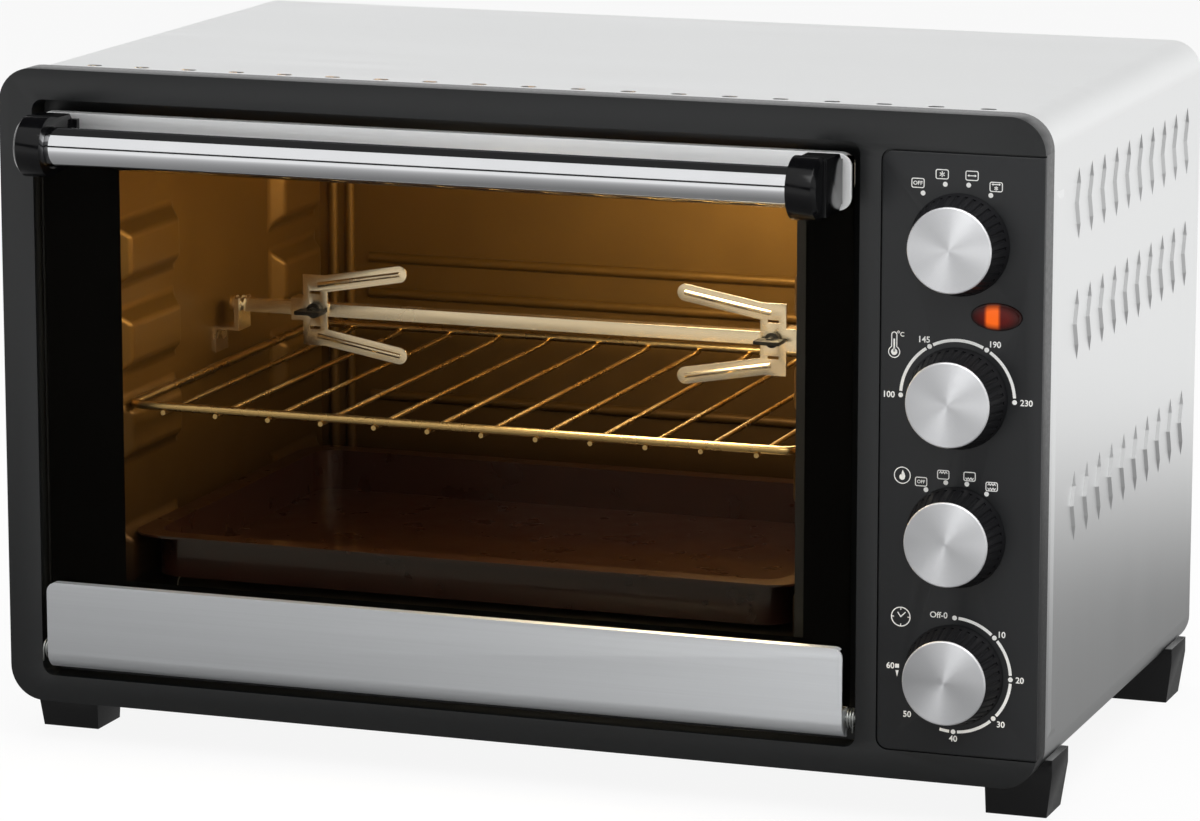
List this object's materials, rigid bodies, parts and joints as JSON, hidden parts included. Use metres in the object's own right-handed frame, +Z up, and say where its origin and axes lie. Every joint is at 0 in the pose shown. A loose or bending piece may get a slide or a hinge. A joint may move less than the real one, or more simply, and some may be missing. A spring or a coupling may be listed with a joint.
{
  "type": "countertop convection oven",
  "caption": "Countertop convection oven with a drop-down glass door, bar handle, side control dials, rotisserie spit, wire rack and baking tray in a stainless wrap.",
  "frame": {"origin": "on the table, under the middle of the oven's overall length, width and depth", "axes": "+Z up, +X to the right seen from the front, +Y towards the back; the door faces -Y"},
  "size_m": [0.55, 0.3726, 0.352],
  "materials": {
    "stainless": "satin brushed",
    "black_frame": "satin black",
    "black_fascia": "satin black with white print",
    "pilot_red": "clear red, lit",
    "pale_plastic": "moulded",
    "plated_steel": "zinc plated",
    "cavity_steel": "aluminised sheet",
    "heater_steel": "heat stained tube",
    "ceramic": "unglazed",
    "lamp_glass": "clear",
    "black_plastic": "fine satin",
    "door_glass": "clear with a black printed border",
    "chrome": "polished",
    "knob_black": "fluted satin",
    "knob_cap": "spun",
    "dark_enamel": "gloss vitreous enamel"
  },
  "bodies": {
    "cabinet": {"outer_wrap": "stainless", "front_frame": "black_frame", "control_fascia": "black_fascia", "pilot_lamp": "pilot_red", "fan_switch": "pale_plastic", "thermostat": "plated_steel", "function_switch": "pale_plastic", "timer": "plated_steel", "cavity_left_wall": "cavity_steel", "cavity_right_wall": "cavity_steel", "cavity_back": "cavity_steel", "cavity_top": "cavity_steel", "cavity_floor": "cavity_steel", "heating_elements": "heater_steel", "heater_insulators": "ceramic", "fan_motor": "plated_steel", "fan_guard": "cavity_steel", "rotisserie_motor": "plated_steel", "spit_support": "plated_steel", "lamp_holder": "ceramic", "lamp_bulb": "lamp_glass", "lamp_cover": "lamp_glass", "base_plate": "plated_steel", "back_panel": "plated_steel", "cord_gland": "black_plastic", "feet": "black_plastic", "foot_screws": "plated_steel", "back_screws": "plated_steel", "hinge_blocks": "plated_steel"},
    "door": {"door_glass": "door_glass", "door_top_rail": "stainless", "door_bottom_rail": "stainless", "handle_tube": "chrome", "handle_bracket_left": "black_plastic", "handle_bracket_right": "black_plastic", "handle_screws": "plated_steel", "hinge_pins": "plated_steel", "hinge_springs": "plated_steel"},
    "fan_dial": {"fan_knob": "knob_black", "fan_knob_cap": "knob_cap", "fan_switch_shaft": "plated_steel"},
    "temperature_dial": {"temperature_knob": "knob_black", "temperature_knob_cap": "knob_cap", "thermostat_shaft": "plated_steel"},
    "function_dial": {"function_knob": "knob_black", "function_knob_cap": "knob_cap", "function_switch_shaft": "plated_steel"},
    "timer_dial": {"timer_knob": "knob_black", "timer_knob_cap": "knob_cap", "timer_shaft": "plated_steel"},
    "rotisserie": {"spit": "chrome", "spit_fork_left": "chrome", "spit_fork_right": "chrome", "thumb_screws": "black_plastic", "drive_socket": "plated_steel"},
    "fan": {"fan_blade": "plated_steel", "fan_shaft": "plated_steel"},
    "rack": {"wire_rack": "chrome"},
    "tray": {"baking_tray": "dark_enamel"}
  },
  "joints": [
    {"name": "door_hinge", "type": "hinge", "parent": "cabinet", "child": "door", "pos_m": [-0.0369, -0.1386, 0.04945], "axis": [1, 0, 0], "range_deg": [0, 87], "stiffness_Nm_per_rad": 0.5, "springref_deg": -45.84},
    {"name": "fan_dial_turn", "type": "hinge", "parent": "cabinet", "child": "fan_dial", "pos_m": [0.233, -0.14275, 0.289], "axis": [0, 1, 0], "range_deg": [0, 76]},
    {"name": "temperature_dial_turn", "type": "hinge", "parent": "cabinet", "child": "temperature_dial", "pos_m": [0.233, -0.14275, 0.214], "axis": [0, 1, 0], "range_deg": [0, 180]},
    {"name": "function_dial_turn", "type": "hinge", "parent": "cabinet", "child": "function_dial", "pos_m": [0.233, -0.14275, 0.1455], "axis": [0, 1, 0], "range_deg": [0, 76]},
    {"name": "timer_dial_turn", "type": "hinge", "parent": "cabinet", "child": "timer_dial", "pos_m": [0.233, -0.14275, 0.077], "axis": [0, 1, 0], "range_deg": [0, 270]},
    {"name": "spit_turn", "type": "hinge", "parent": "cabinet", "child": "rotisserie", "pos_m": [-0.0369, 0.01225, 0.20793], "axis": [1, 0, 0], "continuous": true},
    {"name": "fan_turn", "type": "hinge", "parent": "cabinet", "child": "fan", "pos_m": [0.1691, 0.01625, 0.125], "axis": [1, 0, 0], "continuous": true},
    {"name": "rack_slide", "type": "slide", "parent": "cabinet", "child": "rack", "axis": [0, -1, 0], "range_m": [0, 0.08]},
    {"name": "tray_slide", "type": "slide", "parent": "cabinet", "child": "tray", "axis": [0, -1, 0], "range_m": [0, 0.06]}
  ],
  "couplings": [
    {"joint": "rack_slide", "follows": "door_hinge", "m_per_rad": 0.051},
    {"joint": "tray_slide", "follows": "door_hinge", "m_per_rad": 0.0382}
  ]
}
